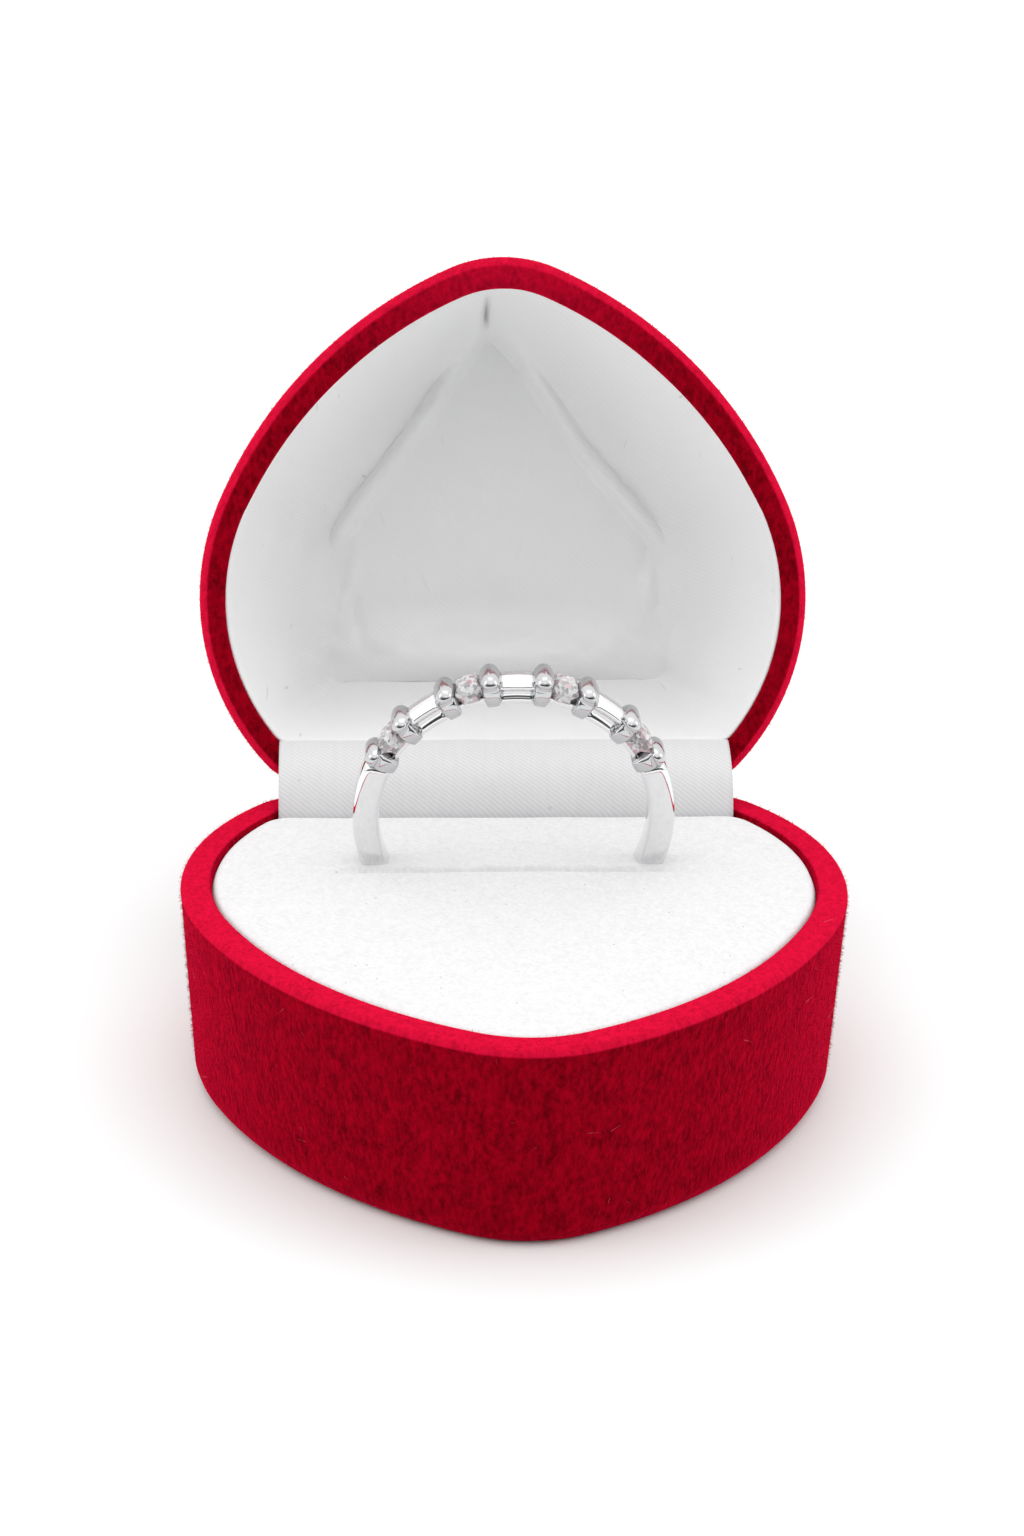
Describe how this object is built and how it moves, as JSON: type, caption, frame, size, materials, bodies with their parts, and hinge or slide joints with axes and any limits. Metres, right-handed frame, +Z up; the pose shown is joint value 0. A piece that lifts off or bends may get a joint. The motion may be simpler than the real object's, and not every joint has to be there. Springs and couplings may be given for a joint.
{
  "type": "jewelry gift box",
  "caption": "Heart-shaped flocked ring box with a spring hinge, satin-lined lid and a slotted white pad that holds a bar-set band ring.",
  "frame": {"origin": "on the underside of the base, on the centre line, midway between the front tip and the flat back", "axes": "+Z up; -Y towards the tip of the heart, which is the front; +X to the right; the hinge runs along X at the back"},
  "size_m": [0.045, 0.0679, 0.0505],
  "materials": {
    "red_flock": "short-pile flocked velvet, deep crimson",
    "shell_plastic": "injection-moulded, dull",
    "bottom_paper": "flocked paper sheet glued flat",
    "card": "grey-white board",
    "foam": "open-cell foam",
    "wadding": "thin polyester wadding",
    "white_velvet": "short-pile white velveteen",
    "white_satin": "white satin, fine twill",
    "hinge_steel": "stamped, bright",
    "tack_steel": "bright",
    "spring_steel": "blued spring strip",
    "white_gold": "high polish",
    "clear_stone": "clear, square cut"
  },
  "bodies": {
    "base": {"base_shell": "shell_plastic", "base_velvet_skin": "red_flock", "bottom_sheet": "bottom_paper", "pad_card": "card", "foam_core": "foam", "pad_velvet_cover": "white_velvet", "lower_hinge_leaf": "hinge_steel", "lower_leaf_tacks": "tack_steel", "hinge_pin": "tack_steel", "snap_spring": "spring_steel", "snap_spring_rivet": "tack_steel", "satin_gusset": "white_satin", "ring_shank": "white_gold", "ring_bar_1": "white_gold", "ring_bar_2": "white_gold", "ring_bar_3": "white_gold", "ring_bar_4": "white_gold", "ring_bar_5": "white_gold", "ring_bar_6": "white_gold", "ring_bar_7": "white_gold", "ring_bar_8": "white_gold", "ring_stone_1": "clear_stone", "ring_stone_2": "clear_stone", "ring_stone_3": "clear_stone", "ring_stone_4": "clear_stone", "ring_link_1": "white_gold", "ring_link_2": "white_gold", "ring_link_3": "white_gold"},
    "lid": {"lid_shell": "shell_plastic", "lid_velvet_skin": "red_flock", "upper_hinge_leaf": "hinge_steel", "upper_leaf_tacks": "tack_steel", "satin_lining": "white_satin", "lid_wadding": "wadding", "lid_lining_card": "card"}
  },
  "joints": [
    {"name": "lid_hinge", "type": "hinge", "parent": "base", "child": "lid", "pos_m": [0, 0.01955, 0.01427], "axis": [1, 0, 0], "range_deg": [0, 109], "deforming": ["satin_gusset", "snap_spring"]}
  ]
}
